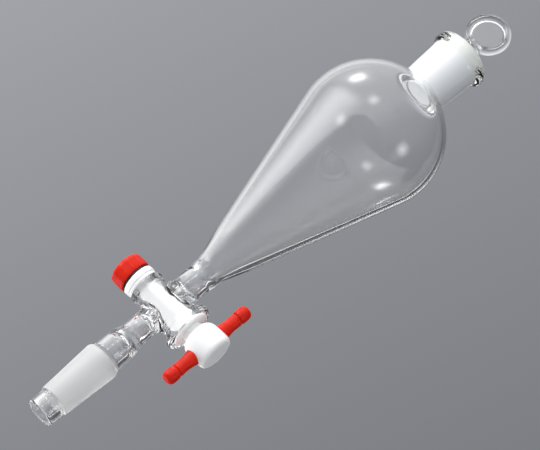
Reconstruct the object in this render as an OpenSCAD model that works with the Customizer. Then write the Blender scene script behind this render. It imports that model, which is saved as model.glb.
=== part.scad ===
// Separatory funnel, pear-shaped, 100 mL, with 15/25 ground joints and a PTFE tap.
// It stands upright: +Z points to the stopper, the tap's axis lies along X.
// The origin is on the axis, at the wide end of the lower ground cone.

/* [Ground joints] */
// Diameter at the wide end of both ground joints
joint_d = 15; // [14:0.1:19]
// Length of the ground zone on the lower cone
cone_len = 23.4; // [20:0.1:26]
// Length of the ground zone in the top socket
socket_len = 24.6; // [20:0.1:26]
// Length over which a ground joint grows by 1 mm in diameter
joint_taper = 10; // [10:1:12]
// Radial gap between the ground faces of stopper and socket
joint_gap = 0.05; // [0.02:0.01:0.1]

/* [Outlet] */
// Length of the plain tube below the ground cone
tip_len = 7; // [4:0.5:20]
// Outside diameter of that tube
tip_d = 11.5; // [11:0.1:12]
// Bore of the outlet at its tip
tip_bore_d = 8; // [7.5:0.1:8.4]
// Outside diameter of the wide tube above the ground cone
wide_d = 12.5; // [12:0.1:13]
// Height at which the wide tube starts to narrow
wide_top_z = 10.8; // [8:0.1:12]
// Height at which the lower arm begins
lower_arm_z = 13.4; // [13:0.1:16]

/* [Arms of the tap] */
// Outside diameter of the arm below the tap
lower_arm_d = 10.2; // [9.5:0.1:11]
// Outside diameter of the arm above the tap
upper_arm_d = 11.3; // [10.5:0.1:11.5]
// Bore of the lower arm
lower_bore_d = 7; // [6.5:0.1:7.4]
// Bore of the upper arm
upper_bore_d = 8; // [7.5:0.1:8.2]
// Height of the seal between the upper arm and the bulb
bulb_foot_z = 51.1; // [48:0.1:60]

/* [Bulb] */
// Largest outside diameter of the bulb
bulb_d = 56.6; // [50:0.1:70]
// Height of the centre of the round part
bulb_z = 135.9; // [130:0.1:150]
// Half-angle of the cone below the round part
bulb_cone_angle = 15.5; // [15:0.1:16]
// Thickness of the blown wall
bulb_wall = 1.6; // [1.2:0.1:2.2]
// Radius of the fillet between bulb and neck
neck_fillet = 3; // [2:0.1:4]

/* [Top socket] */
// Outside diameter of the neck where it leaves the bulb
neck_d = 19.7; // [19:0.1:21]
// Outside diameter of the neck below the rim
neck_top_d = 20.9; // [20:0.1:22]
// Height of the rim's top face
rim_top_z = 186; // [184:0.1:190]
// Outside diameter of the rim's bead
rim_d = 24.6; // [23:0.1:26]
// Height of the rim's bead
bead_h = 5.2; // [4:0.1:6]

/* [Stopper] */
// Diameter of the flat disc that is gripped
disc_d = 17.6; // [15:0.1:20]
// Height of the disc's centre
disc_z = 198.9; // [198.5:0.1:202]
// Thickness of the disc at its raised edge
disc_t = 3.2; // [3:0.1:5]
// Depth of the dish in each face
dish_depth = 0.8; // [0.4:0.1:1.2]
// Width of the raised edge round the dish
disc_edge = 1.4; // [1:0.1:2]
// Diameter of the stopper's neck
stopper_neck_d = 7.2; // [6:0.1:9]
// Turn of the disc about the funnel's axis, from the tap's axis
disc_turn = -3; // [-90:1:90]

/* [Tap barrel] */
// Height of the tap's axis
tap_z = 31.6; // [30:0.1:34]
// Distance from the funnel's axis to the barrel's narrow end
barrel_left = 11.3; // [11:0.1:12]
// Distance from the funnel's axis to the barrel's wide end
barrel_right = 13.2; // [12.8:0.1:13.6]
// Outside diameter of the barrel near its narrow end
barrel_d_left = 13.2; // [12.5:0.1:14]
// Outside diameter of the barrel near its wide end
barrel_d_right = 15.2; // [14.5:0.1:16]
// Outside diameter of the lip at the narrow end
lip_d_left = 14.8; // [14.5:0.1:15.5]
// Outside diameter of the cup at the wide end
cup_d = 20; // [19:0.1:21]

/* [Tap plug] */
// Diameter of the plug at its narrow end
plug_d_left = 7.6; // [7.4:0.1:8]
// Diameter of the plug at its shoulder
plug_d_right = 9.8; // [9.6:0.1:10.4]
// Radial gap between the plug and the barrel
plug_gap = 0.05; // [0.02:0.01:0.1]
// Bore through the plug
plug_bore_d = 2.4; // [2:0.1:3]
// Diameter of the plug's flange
flange_d = 15.4; // [14.5:0.1:15.6]
// Thickness of the plug's flange
flange_t = 1.3; // [1:0.1:1.8]
// Diameter of the hub that carries the handle
hub_d = 15; // [14.4:0.1:16]
// Distance from the funnel's axis to the hub's inner end
hub_in = 15.2; // [14.6:0.1:16]
// Distance from the funnel's axis to the hub's outer end
hub_out = 26.8; // [26.2:0.1:28]
// Distance that the plug's taper stops short of the barrel's narrow end
plug_short = 1.6; // [0.5:0.1:2.5]
// Diameter of the threaded tail
tail_d = 6.4; // [6:0.1:6.6]
// Depth of the flat on the tail
tail_flat = 0.7; // [0.4:0.1:1]

/* [Handle] */
// Distance from the funnel's axis to the crossbar
bar_x = 21.3; // [20.8:0.1:22]
// Length of the crossbar
bar_len = 41; // [36:0.5:50]
// Diameter of the crossbar where it passes through the hub
bar_d = 6.4; // [6:0.1:6.8]
// Diameter of the crossbar at its waist
bar_waist_d = 4.9; // [4.5:0.1:5.4]
// Diameter of the crossbar's knobs
bar_cap_d = 5.6; // [5.4:0.1:6]
// Length of the knob at each end
bar_cap_len = 5; // [4:0.1:6]

/* [Nut and seals] */
// Outside diameter of the washer
washer_d = 13.4; // [13:0.1:14.4]
// Thickness of the washer
washer_t = 3.7; // [2:0.1:4]
// Thickness of the squeezed rubber ring
ring_t = 0.9; // [0.8:0.1:1.2]
// Outside diameter of the rubber ring
ring_d = 12.8; // [12:0.1:13]
// Height of the rubber ring's section
ring_h = 1.6; // [1.2:0.1:2]
// Diameter of the nut across its corners
nut_d = 14; // [13.4:0.1:14.4]
// Length of the nut
nut_len = 6.4; // [5:0.1:7]
// Number of flats on the nut
nut_flats = 12; // [6:2:16]
// Advance of the nut in one turn
thread_pitch = 1.5; // [1:0.25:2]

/* [Hidden] */

$fn = 96;
arc_steps = 12;
// A cut passes each face it opens by this much
past = 1;
// Gap between faces that meet on different bodies
face_gap = 0.1;

glass_colour = [0.8, 0.87, 0.88, 0.35];
ptfe_colour = [0.95, 0.95, 0.94];
red_colour = [0.86, 0.1, 0.08];
rubber_colour = [0.06, 0.06, 0.06];

joint_r = joint_d / 2;
cone_small_r = joint_r - cone_len / joint_taper / 2;
cone_shoulder = 1.8;
tip_z = -cone_len - tip_len;
tip_wall = (tip_d - tip_bore_d) / 2;
cone_bore_r = 4.5;
wide_bore_r = 4.75;

bulb_r = bulb_d / 2;
bulb_in_r = bulb_r - bulb_wall;
bulb_foot_r = upper_arm_d / 2 + 0.2;
upper_bore_r = upper_bore_d / 2;
lower_bore_r = lower_bore_d / 2;
neck_r = neck_d / 2;
fillet_r = neck_r + neck_fillet;
fillet_dz = sqrt(pow(bulb_r + neck_fillet, 2) - pow(fillet_r, 2));
neck_z = bulb_z + fillet_dz;
fillet_start = atan2(-fillet_dz, -fillet_r) + 360;
crown_angle = atan2(fillet_dz, fillet_r);

bead_r = bead_h / 2;
bead_centre_r = rim_d / 2 - bead_r;
bead_z = rim_top_z - bead_r;
socket_bottom_z = rim_top_z - socket_len;
stopper_drop = 1;
stopper_top_z = rim_top_z + 0.8;
disc_r = disc_d / 2;
web_t = disc_t - 2 * dish_depth;
disc_round = min(disc_edge - 0.2, disc_t / 2 - 0.1);

cup_floor = barrel_right - 1.4;
shoulder_x = cup_floor + face_gap;
flange_r = flange_d / 2;
cup_bore_r = flange_r + 0.25;
port_d = 3.2;
taper_rate = (plug_d_right - plug_d_left) / 2 / (cup_floor + barrel_left);
hub_neck_r = 4.2;
hub_round_in = 3.2;
hub_round_out = 2.4;
tail_r = tail_d / 2;
tail_root_r = tail_r - 0.5;
small_x = -barrel_left + plug_short;
washer_x = -barrel_left - face_gap;
ring_x = washer_x - washer_t;
nut_x = ring_x - ring_t;
nut_end_x = nut_x - nut_len;
tail_end_x = nut_end_x + 0.4;
groove_count = floor((nut_x - tail_end_x) / thread_pitch);

// Points on an arc in a lathe outline: [radius, height] about the centre [cr, cz]
function arc(cr, cz, r, from, to) =
  [for (i = [0:arc_steps]) let(t = from + (to - from) * i / arc_steps) [cr + r * cos(t), cz + r * sin(t)]];

// Radius of the ground bore of the socket at a height
function socket_bore(z) = joint_r - (rim_top_z - z) / joint_taper / 2;

// Radius of the plug's taper at a distance along the tap's axis
function plug_r(x) = plug_d_left / 2 + (x + barrel_left) * taper_rate;

module lathe(outline) {
  rotate_extrude() polygon(outline);
}

// A lathe outline whose heights run along the tap's axis
module on_tap_axis() {
  translate([0, 0, tap_z]) rotate([0, 90, 0]) children();
}

module cone_joint() {
  color(glass_colour) lathe(concat(
    arc((tip_d - tip_wall) / 2, tip_z + tip_wall / 2, tip_wall / 2, 180, 360),
    [
      [tip_d / 2, -cone_len - 0.6],
      [cone_small_r, -cone_len],
      [joint_r, 0],
      [wide_d / 2, cone_shoulder],
      [wide_d / 2, wide_top_z],
      [lower_arm_d / 2, lower_arm_z],
      [lower_bore_r, lower_arm_z],
      [wide_bore_r, wide_top_z - 0.5],
      [wide_bore_r, cone_shoulder],
      [cone_bore_r, 0],
      [tip_bore_d / 2, -cone_len]
    ]
  ));
}

// The barrel's outer shape without its bore, which the arms are cut against
module barrel_blank() {
  cup_r = cup_d / 2;
  lip_r = lip_d_left / 2;
  flare = 2.4;
  cup_round = 1.5;
  on_tap_axis() lathe(concat(
    [[0, -barrel_left]],
    [
      [lip_r - 0.6, -barrel_left],
      [lip_r, -barrel_left + 0.5],
      [lip_r, -barrel_left + 1.6],
      [barrel_d_left / 2, -barrel_left + 3]
    ],
    [
      [barrel_d_right / 2, barrel_right - 7.4],
      [barrel_d_right / 2 + flare * 0.4, barrel_right - 6.1],
      [cup_r - 0.5, barrel_right - 4.4]
    ],
    arc(cup_r - cup_round, barrel_right - cup_round, cup_round, 0, 90),
    [[0, barrel_right]]
  ));
}

module tap_barrel() {
  color(glass_colour) difference() {
    barrel_blank();
    on_tap_axis() lathe([
      [0, -barrel_left - past],
      [plug_r(-barrel_left - past) + plug_gap, -barrel_left - past],
      [plug_r(cup_floor) + plug_gap, cup_floor],
      [cup_bore_r, cup_floor],
      [cup_bore_r, barrel_right + past],
      [0, barrel_right + past]
    ]);
    translate([0, 0, tap_z - barrel_d_right]) cylinder(h = 2 * barrel_d_right, d = port_d);
  }
}

// A straight tube from the tap's axis to a height, cut to sit on the barrel
module arm(outer_d, bore_d, far_z) {
  low_z = min(tap_z, far_z);
  difference() {
    translate([0, 0, low_z]) cylinder(h = abs(far_z - tap_z), d = outer_d);
    translate([0, 0, low_z - past]) cylinder(h = abs(far_z - tap_z) + 2 * past, d = bore_d);
    barrel_blank();
  }
}

module upper_arm() {
  color(glass_colour) arm(upper_arm_d, upper_bore_d, bulb_foot_z);
}

module lower_arm() {
  color(glass_colour) arm(lower_arm_d, lower_bore_d, lower_arm_z);
}

module bulb() {
  crown_bore = socket_bore(socket_bottom_z);
  crown_in = acos(crown_bore / bulb_in_r);
  color(glass_colour) lathe(concat(
    [[upper_bore_r, bulb_foot_z], [bulb_foot_r, bulb_foot_z]],
    arc(0, bulb_z, bulb_r, -bulb_cone_angle, 30),
    arc(0, bulb_z, bulb_r, 33, crown_angle),
    arc(fillet_r, neck_z, neck_fillet, fillet_start, 180),
    [[socket_bore(neck_z), neck_z]],
    arc(0, bulb_z, bulb_in_r, crown_in, 33),
    arc(0, bulb_z, bulb_in_r, 30, -bulb_cone_angle)
  ));
}

module top_socket() {
  color(glass_colour) lathe(concat(
    [[socket_bore(neck_z), neck_z], [neck_r, neck_z]],
    [[neck_top_d / 2, bead_z - bead_r - 0.6]],
    arc(bead_centre_r, bead_z, bead_r, -75, 90),
    [[socket_bore(rim_top_z) + 0.5, rim_top_z], [socket_bore(rim_top_z - 0.4), rim_top_z - 0.4]]
  ));
}

module stopper() {
  foot_z = socket_bottom_z + stopper_drop;
  neck_r = stopper_neck_d / 2;
  color(glass_colour) union() {
    lathe(concat(
      [[0, foot_z], [socket_bore(foot_z) - joint_gap - 0.5, foot_z]],
      [[socket_bore(foot_z + 0.5) - joint_gap, foot_z + 0.5]],
      [[socket_bore(stopper_top_z) - joint_gap, stopper_top_z]],
      [[neck_r + 0.8, stopper_top_z + 1.8], [neck_r, stopper_top_z + 3.4]],
      [[neck_r, disc_z - disc_r + 1.4], [0, disc_z - disc_r + 1.4]]
    ));
    translate([0, 0, disc_z]) rotate([90, 0, disc_turn]) lathe(concat(
      [[0, -web_t / 2], [disc_r - disc_edge, -web_t / 2]],
      arc(disc_r - disc_round, disc_round - disc_t / 2, disc_round, -90, 0),
      arc(disc_r - disc_round, disc_t / 2 - disc_round, disc_round, 0, 90),
      [[disc_r - disc_edge, web_t / 2], [0, web_t / 2]]
    ));
  }
}

// The annular ridges that stand for the tail's thread
function thread_outline() = [
  for (i = [0:groove_count - 1])
    let(x = nut_x - i * thread_pitch)
      each [[tail_r, x], [tail_r, x - thread_pitch * 0.4], [tail_root_r, x - thread_pitch * 0.7]]
];

// The length of the tail that the flat is milled along
module tail_flat_cut() {
  cut_len = washer_x - tail_end_x + past;
  translate([tail_end_x - past, -tail_d, tap_z + tail_r - tail_flat]) cube([cut_len, 2 * tail_d, tail_d]);
}

module plug() {
  flange_edge = 0.3;
  color(ptfe_colour) difference() {
    on_tap_axis() lathe(concat(
      [[0, hub_out]],
      arc(hub_d / 2 - hub_round_out, hub_out - hub_round_out, hub_round_out, 90, 0),
      arc(hub_d / 2 - hub_round_in, hub_in + hub_round_in, hub_round_in, 0, -70),
      [
        [hub_neck_r, hub_in],
        [hub_neck_r, shoulder_x + flange_t],
        [flange_r - flange_edge, shoulder_x + flange_t],
        [flange_r, shoulder_x + flange_t - flange_edge],
        [flange_r, shoulder_x],
        [plug_r(shoulder_x), shoulder_x],
        [plug_r(small_x), small_x],
        [tail_r, small_x]
      ],
      thread_outline(),
      [[tail_root_r, tail_end_x], [0, tail_end_x]]
    ));
    translate([0, 0, tap_z - hub_d]) cylinder(h = 2 * hub_d, d = plug_bore_d);
    translate([bar_x, 0, tap_z - hub_d]) cylinder(h = 2 * hub_d, d = bar_d);
    tail_flat_cut();
  }
}

// The crossbar is turned symmetric: a trumpet at the hub, a waist, a notch and a knob to each side
module t_bar() {
  hub_z = hub_d / 2;
  notch_z = bar_len / 2 - bar_cap_len;
  notch_w = 0.8;
  notch_r = bar_waist_d / 2 - 0.35;
  knob_round = 1.5;
  half = concat(
    [[bar_d / 2, hub_z], [bar_waist_d / 2 + 0.35, hub_z + 1.2], [bar_waist_d / 2 + 0.1, hub_z + 2.6]],
    [[bar_waist_d / 2, hub_z + 4.2], [bar_waist_d / 2 + 0.15, notch_z - notch_w]],
    [[notch_r, notch_z - notch_w + 0.2], [notch_r, notch_z - 0.2], [bar_cap_d / 2, notch_z]],
    arc(bar_cap_d / 2 - knob_round, bar_len / 2 - knob_round, knob_round, 0, 90),
    [[0, bar_len / 2]]
  );
  mirrored = [for (i = [len(half) - 1:-1:0]) [half[i][0], -half[i][1]]];
  color(red_colour) translate([bar_x, 0, tap_z]) lathe(concat(mirrored, half));
}

module washer() {
  color(ptfe_colour) difference() {
    on_tap_axis() translate([0, 0, ring_x]) cylinder(h = washer_t, d = washer_d);
    difference() {
      on_tap_axis() translate([0, 0, ring_x - past]) cylinder(h = washer_t + 2 * past, r = tail_r + plug_gap);
      translate([ring_x - 2 * past, -tail_d, tap_z + tail_r - tail_flat + plug_gap])
        cube([washer_t + 4 * past, 2 * tail_d, tail_d]);
    }
  }
}

module o_ring() {
  side_r = ring_t / 2;
  middle_x = ring_x - side_r;
  color(rubber_colour) on_tap_axis() lathe(concat(
    arc(ring_d / 2 - side_r, middle_x, side_r, -90, 90),
    arc(ring_d / 2 - ring_h + side_r, middle_x, side_r, 90, 270)
  ));
}

module nut() {
  chamfer = 0.7;
  color(red_colour) difference() {
    on_tap_axis() intersection() {
      translate([0, 0, nut_end_x]) cylinder(h = nut_len, d = nut_d, $fn = nut_flats);
      lathe([
        [0, nut_end_x],
        [nut_d / 2 - chamfer, nut_end_x],
        [nut_d / 2, nut_end_x + chamfer],
        [nut_d / 2, nut_x - chamfer / 2],
        [nut_d / 2 - chamfer / 2, nut_x],
        [0, nut_x]
      ]);
    }
    on_tap_axis() translate([0, 0, nut_end_x - past]) cylinder(h = nut_len + 2 * past, r = tail_r + plug_gap);
  }
}

top_socket();
bulb();
upper_arm();
tap_barrel();
lower_arm();
cone_joint();
stopper();
plug();
t_bar();
washer();
o_ring();
nut();
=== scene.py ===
# %% [markdown]
# A separatory funnel: a pear-shaped glass bulb with a ground stopper at the top, a PTFE tap with a
# red crossbar below it, and a ground cone at the bottom that drops into a flask. Chemists shake two
# liquids in it, hang it up, wait until they part, and run the lower one off through the tap.
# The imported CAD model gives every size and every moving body. This file gives each piece its looks.

import math

import bmesh
import bpy
from mathutils import Matrix, Vector, noise


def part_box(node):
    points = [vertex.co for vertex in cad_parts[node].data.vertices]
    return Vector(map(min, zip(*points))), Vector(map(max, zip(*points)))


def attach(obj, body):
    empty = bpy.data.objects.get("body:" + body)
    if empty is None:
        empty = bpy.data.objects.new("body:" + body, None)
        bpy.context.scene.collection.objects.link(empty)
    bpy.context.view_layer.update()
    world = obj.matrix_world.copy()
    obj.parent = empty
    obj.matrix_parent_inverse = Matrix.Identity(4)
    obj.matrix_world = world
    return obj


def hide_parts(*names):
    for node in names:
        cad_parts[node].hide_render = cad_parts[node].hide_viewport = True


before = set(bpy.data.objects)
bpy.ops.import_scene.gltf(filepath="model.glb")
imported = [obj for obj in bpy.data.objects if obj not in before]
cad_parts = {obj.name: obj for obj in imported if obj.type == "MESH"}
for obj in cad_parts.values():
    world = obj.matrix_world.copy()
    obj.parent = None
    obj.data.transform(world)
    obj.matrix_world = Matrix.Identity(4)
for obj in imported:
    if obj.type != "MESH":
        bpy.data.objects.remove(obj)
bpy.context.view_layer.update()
MM = 0.001

# %% [markdown]
# Most places below are read off the CAD nodes, so that the looks and the mechanism can't drift
# apart. All shapes are written in millimetres and turned to metres when a mesh is made, because
# glassware is drawn and ordered in millimetres.

# %% Read the main places off the frame
def low_mm(node):
    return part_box(node)[0] / MM


def high_mm(node):
    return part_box(node)[1] / MM


tap_z = (low_mm("washer").z + high_mm("washer").z) / 2
barrel_left = low_mm("tap_barrel").x
barrel_right = high_mm("tap_barrel").x
bulb_r = high_mm("bulb").x
bulb_foot_z = low_mm("bulb").z
neck_z = high_mm("bulb").z
rim_top_z = high_mm("top_socket").z
rim_r = high_mm("top_socket").x
tip_z = low_mm("cone_joint").z
cone_r = high_mm("cone_joint").x
print("tap axis at z =", round(tap_z, 2), "mm; bulb radius", round(bulb_r, 2), "mm")

# %% [markdown]
# The camera comes first, because every later choice is judged through it. A long lens of about
# 240 mm at 1.3 m keeps the tube's sides nearly parallel, as product pictures of glassware do.
# The funnel is pictured lying down, so here, where it stands, the camera looks up at it from
# 20 degrees below and is rolled until the stopper points to the upper right.

# %% Camera
view_azimuth = math.radians(19.5)
axis_lean = math.asin(0.3502)
axis_rise = math.radians(40.2)
camera_distance = 1.3
aim_height = 0.0824
aim_offset = -0.00172

axis_dir = Vector((math.cos(axis_rise), math.sin(axis_rise), 0))
across_dir = Vector((math.sin(axis_rise), -math.cos(axis_rise), 0))
toward_dir = axis_dir * math.sin(axis_lean) + Vector((0, 0, math.cos(axis_lean)))
object_z = axis_dir * math.cos(axis_lean) - Vector((0, 0, math.sin(axis_lean)))
object_x = across_dir * math.cos(view_azimuth) + toward_dir * math.sin(view_azimuth)
object_y = across_dir * math.sin(view_azimuth) - toward_dir * math.cos(view_azimuth)
turn = Matrix((object_x, object_y, object_z))
aim_in_camera = across_dir * aim_offset - Vector((0, 0, camera_distance))

camera_data = bpy.data.cameras.new("product_camera")
camera_data.sensor_width = 36
camera_data.lens = 237
camera_data.clip_end = 50
camera = bpy.data.objects.new("product_camera", camera_data)
bpy.context.scene.collection.objects.link(camera)
place = Vector((0, 0, aim_height)) - turn @ aim_in_camera
camera.matrix_world = Matrix.Translation(place) @ turn.to_4x4()
bpy.context.scene.camera = camera
print("camera at", [round(c, 3) for c in place])

# %% [markdown]
# Colours are picked as sRGB hex codes, as on a paint card, and turned to the linear values that a
# renderer works with by one function.

# %% Colour helper
def linear(hex_code):
    channels = [int(hex_code[i : i + 2], 16) / 255 for i in (0, 2, 4)]
    return tuple(c / 12.92 if c <= 0.04045 else ((c + 0.055) / 1.055) ** 2.4 for c in channels) + (1.0,)


# %% [markdown]
# Every material is a small node tree. One helper adds a node, sets its sockets and properties, and
# makes its links, so that each material below reads as a short list.

# %% Node helper
def add_node(tree, kind, links=None, **settings):
    node = tree.nodes.new(kind)
    for name, value in settings.items():
        socket = node.inputs.get(name.replace("_", " "))
        if socket is not None:
            socket.default_value = value
        else:
            setattr(node, name, value)
    for name, source in (links or {}).items():
        tree.links.new(source, node.inputs[name])
    return node


def new_material(name):
    material = bpy.data.materials.new(name)
    material.use_nodes = True
    material.node_tree.nodes.clear()
    return material, material.node_tree


# %% [markdown]
# A path tracer finds it hard to send lamp light through curved glass, so rays that only carry
# light onto other surfaces pass straight on. The eye's own rays are still bent and mirrored.

# %% Light through glass
def let_light_pass(tree, surface, share):
    """Mixes in a Transparent shader for shadow rays and diffuse bounces only."""
    path = add_node(tree, "ShaderNodeLightPath")
    clear = add_node(tree, "ShaderNodeBsdfTransparent", Color=(share, share, share, 1.0))
    bounced = tree.nodes.new("ShaderNodeMixShader")
    tree.links.new(path.outputs["Is Diffuse Ray"], bounced.inputs[0])
    tree.links.new(surface.outputs["BSDF"], bounced.inputs[1])
    tree.links.new(clear.outputs["BSDF"], bounced.inputs[2])
    shadowed = tree.nodes.new("ShaderNodeMixShader")
    tree.links.new(path.outputs["Is Shadow Ray"], shadowed.inputs[0])
    tree.links.new(bounced.outputs["Shader"], shadowed.inputs[1])
    tree.links.new(clear.outputs["BSDF"], shadowed.inputs[2])
    add_node(tree, "ShaderNodeOutputMaterial", {"Surface": shadowed.outputs["Shader"]})


# %% [markdown]
# Borosilicate glass, blown and fire polished: an IOR of 1.473, almost no colour, and a surface as
# smooth as the flame left it. Flame work leaves long, shallow waves some 6 mm apart, and they make
# the highlights swim a little, so a very faint bump carries them.

# %% Clear borosilicate glass
def borosilicate_glass(name, tint):
    material, tree = new_material(name)
    place = add_node(tree, "ShaderNodeTexCoord")
    waves = add_node(
        tree, "ShaderNodeTexNoise", {"Vector": place.outputs["Object"]}, Scale=160.0, Detail=1.0
    )
    bump = add_node(
        tree, "ShaderNodeBump", {"Height": waves.outputs["Fac"]}, Strength=0.03, Distance=0.0004
    )
    glass = add_node(
        tree,
        "ShaderNodeBsdfPrincipled",
        {"Normal": bump.outputs["Normal"]},
        Base_Color=linear(tint),
        Roughness=0.0,
        IOR=1.473,
        Transmission_Weight=1.0,
    )
    let_light_pass(tree, glass, 0.97)
    return material


clear_glass = borosilicate_glass("fire_polished_borosilicate_glass", "FFFFFF")
rim_glass = borosilicate_glass("thick_fire_polished_borosilicate_glass", "FAFBEE")
print("made", clear_glass.name, "and, for the rim where it is thick enough to tint,", rim_glass.name)

# %% [markdown]
# Ground glass: the same glass after grinding with abrasive of about 30 micrometres. Light scatters
# at the rough skin, so the joint looks matt and milky and still lets a glow through. The grit is
# too fine to show, so the noise is drawn at about 0.3 mm, just coarse enough to break the tone up.

# %% Ground glass
def ground_glass(name, colour, whiteness):
    material, tree = new_material(name)
    place = add_node(tree, "ShaderNodeTexCoord")
    grit = add_node(
        tree, "ShaderNodeTexNoise", {"Vector": place.outputs["Object"]}, Scale=3000.0, Detail=2.0
    )
    tone = add_node(
        tree,
        "ShaderNodeMapRange",
        {"Value": grit.outputs["Fac"]},
        From_Min=0.3,
        From_Max=0.7,
        To_Min=0.5,
        To_Max=0.62,
    )
    bump = add_node(
        tree, "ShaderNodeBump", {"Height": grit.outputs["Fac"]}, Strength=0.2, Distance=0.00005
    )
    surface = add_node(
        tree,
        "ShaderNodeBsdfPrincipled",
        {"Roughness": tone.outputs["Result"], "Normal": bump.outputs["Normal"]},
        Base_Color=linear(colour),
        IOR=1.473,
        Transmission_Weight=1 - whiteness,
    )
    let_light_pass(tree, surface, 0.6)
    return material


frosted_glass = ground_glass("ground_borosilicate_glass", "E2E2E1", 0.5)
frosted_white = ground_glass("finely_ground_borosilicate_glass", "E9EBEC", 0.86)
print("made", frosted_glass.name, "and", frosted_white.name)

# %% [markdown]
# PTFE, turned on a lathe: a dense, waxy white that lets light in a little way and has a soft sheen.
# Turning leaves rings about 0.15 mm apart round the tap's axis, drawn here at 0.35 mm.

# %% White PTFE
def turned_ptfe():
    material, tree = new_material("turned_ptfe")
    place = add_node(tree, "ShaderNodeTexCoord")
    rings = add_node(
        tree,
        "ShaderNodeTexWave",
        {"Vector": place.outputs["Object"]},
        Scale=450.0,
        Distortion=0.6,
        Detail=1.0,
        bands_direction="X",
    )
    sheen = add_node(
        tree,
        "ShaderNodeMapRange",
        {"Value": rings.outputs["Fac"]},
        To_Min=0.36,
        To_Max=0.46,
    )
    bump = add_node(
        tree, "ShaderNodeBump", {"Height": rings.outputs["Fac"]}, Strength=0.08, Distance=0.00005
    )
    surface = add_node(
        tree,
        "ShaderNodeBsdfPrincipled",
        {"Roughness": sheen.outputs["Result"], "Normal": bump.outputs["Normal"]},
        Base_Color=linear("F4F4F3"),
        IOR=1.38,
        Subsurface_Weight=0.25,
        Subsurface_Radius=(1.0, 0.95, 0.9),
        Subsurface_Scale=0.0015,
    )
    add_node(tree, "ShaderNodeOutputMaterial", {"Surface": surface.outputs["BSDF"]})
    return material


white_ptfe = turned_ptfe()
print("made", white_ptfe.name)

# %% [markdown]
# The handle and the nut are moulded polypropylene in signal red: a smooth, slightly waxy gloss with
# the faint spark-eroded grain of the mould, about 0.4 mm across.

# %% Red moulded plastic
def red_polypropylene():
    material, tree = new_material("moulded_red_polypropylene")
    place = add_node(tree, "ShaderNodeTexCoord")
    grain = add_node(
        tree, "ShaderNodeTexNoise", {"Vector": place.outputs["Object"]}, Scale=2400.0, Detail=3.0
    )
    clouds = add_node(
        tree, "ShaderNodeTexNoise", {"Vector": place.outputs["Object"]}, Scale=220.0, Detail=2.0
    )
    tint = add_node(tree, "ShaderNodeValToRGB", {"Fac": clouds.outputs["Fac"]})
    tint.color_ramp.elements[0].position = 0.35
    tint.color_ramp.elements[0].color = linear("C81A08")
    tint.color_ramp.elements[1].position = 0.65
    tint.color_ramp.elements[1].color = linear("D4240C")
    gloss = add_node(
        tree,
        "ShaderNodeMapRange",
        {"Value": grain.outputs["Fac"]},
        From_Min=0.3,
        From_Max=0.7,
        To_Min=0.3,
        To_Max=0.42,
    )
    bump = add_node(
        tree, "ShaderNodeBump", {"Height": grain.outputs["Fac"]}, Strength=0.15, Distance=0.00005
    )
    surface = add_node(
        tree,
        "ShaderNodeBsdfPrincipled",
        {
            "Base Color": tint.outputs["Color"],
            "Roughness": gloss.outputs["Result"],
            "Normal": bump.outputs["Normal"],
        },
        IOR=1.49,
        Specular_IOR_Level=0.17,
        Subsurface_Weight=0.1,
        Subsurface_Radius=(1.0, 0.2, 0.1),
        Subsurface_Scale=0.001,
    )
    add_node(tree, "ShaderNodeOutputMaterial", {"Surface": surface.outputs["BSDF"]})
    return material


red_plastic = red_polypropylene()
print("made", red_plastic.name)

# %% [markdown]
# Nitrile rubber, moulded: near black and matt, with a dusty bloom that lightens it in patches.

# %% Black rubber
def nitrile_rubber():
    material, tree = new_material("moulded_nitrile_rubber")
    place = add_node(tree, "ShaderNodeTexCoord")
    bloom = add_node(
        tree, "ShaderNodeTexNoise", {"Vector": place.outputs["Object"]}, Scale=1500.0, Detail=3.0
    )
    tint = add_node(tree, "ShaderNodeValToRGB", {"Fac": bloom.outputs["Fac"]})
    tint.color_ramp.elements[0].color = linear("0B0B0C")
    tint.color_ramp.elements[1].color = linear("232325")
    surface = add_node(
        tree,
        "ShaderNodeBsdfPrincipled",
        {"Base Color": tint.outputs["Color"]},
        Roughness=0.62,
        IOR=1.52,
    )
    add_node(tree, "ShaderNodeOutputMaterial", {"Surface": surface.outputs["BSDF"]})
    return material


black_rubber = nitrile_rubber()
print("made", black_rubber.name)

# %% [markdown]
# Turned and blown pieces are bodies of revolution, so one outline makes each of them. Real edges
# are never knife sharp. An outline here is a list of (radius, height, softness) corners, and each
# corner is replaced by a short curve that starts and ends that softness away from it.

# %% Outline helpers
def soften(corners, steps=5):
    outline = [Vector(corners[0][:2])]
    for before, corner, after in zip(corners, corners[1:], corners[2:]):
        here = Vector(corner[:2])
        back, ahead = Vector(before[:2]) - here, Vector(after[:2]) - here
        if corner[2] <= 0:
            outline.append(here)
            continue
        start = here + back.normalized() * min(corner[2], back.length * 0.48)
        end = here + ahead.normalized() * min(corner[2], ahead.length * 0.48)
        for i in range(steps + 1):
            t = i / steps
            outline.append(start * (1 - t) ** 2 + here * 2 * t * (1 - t) + end * t**2)
    outline.append(Vector(corners[-1][:2]))
    return outline


def arc(centre_r, centre_z, radius, from_deg, to_deg, steps):
    angles = [math.radians(from_deg + (to_deg - from_deg) * i / steps) for i in range(steps + 1)]
    return [Vector((centre_r + radius * math.cos(a), centre_z + radius * math.sin(a))) for a in angles]


def smooth_step(low, high, value):
    t = max(0.0, min(1.0, (value - low) / (high - low)))
    return t * t * (3 - 2 * t)


def fill_in(outline, longest):
    filled = [outline[0]]
    for a, b in zip(outline, outline[1:]):
        parts = max(1, math.ceil((b - a).length / longest))
        filled += [a.lerp(b, i / parts) for i in range(1, parts + 1)]
    return filled


# %% [markdown]
# A piece is a set of grids: rows of points, each row closed into a ring. Points that two grids
# share are welded, so the piece comes out as one closed skin made of four-sided faces.

# %% Mesh helper
WELD = 1e-7
SHARP_ANGLE = math.radians(42)


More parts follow.
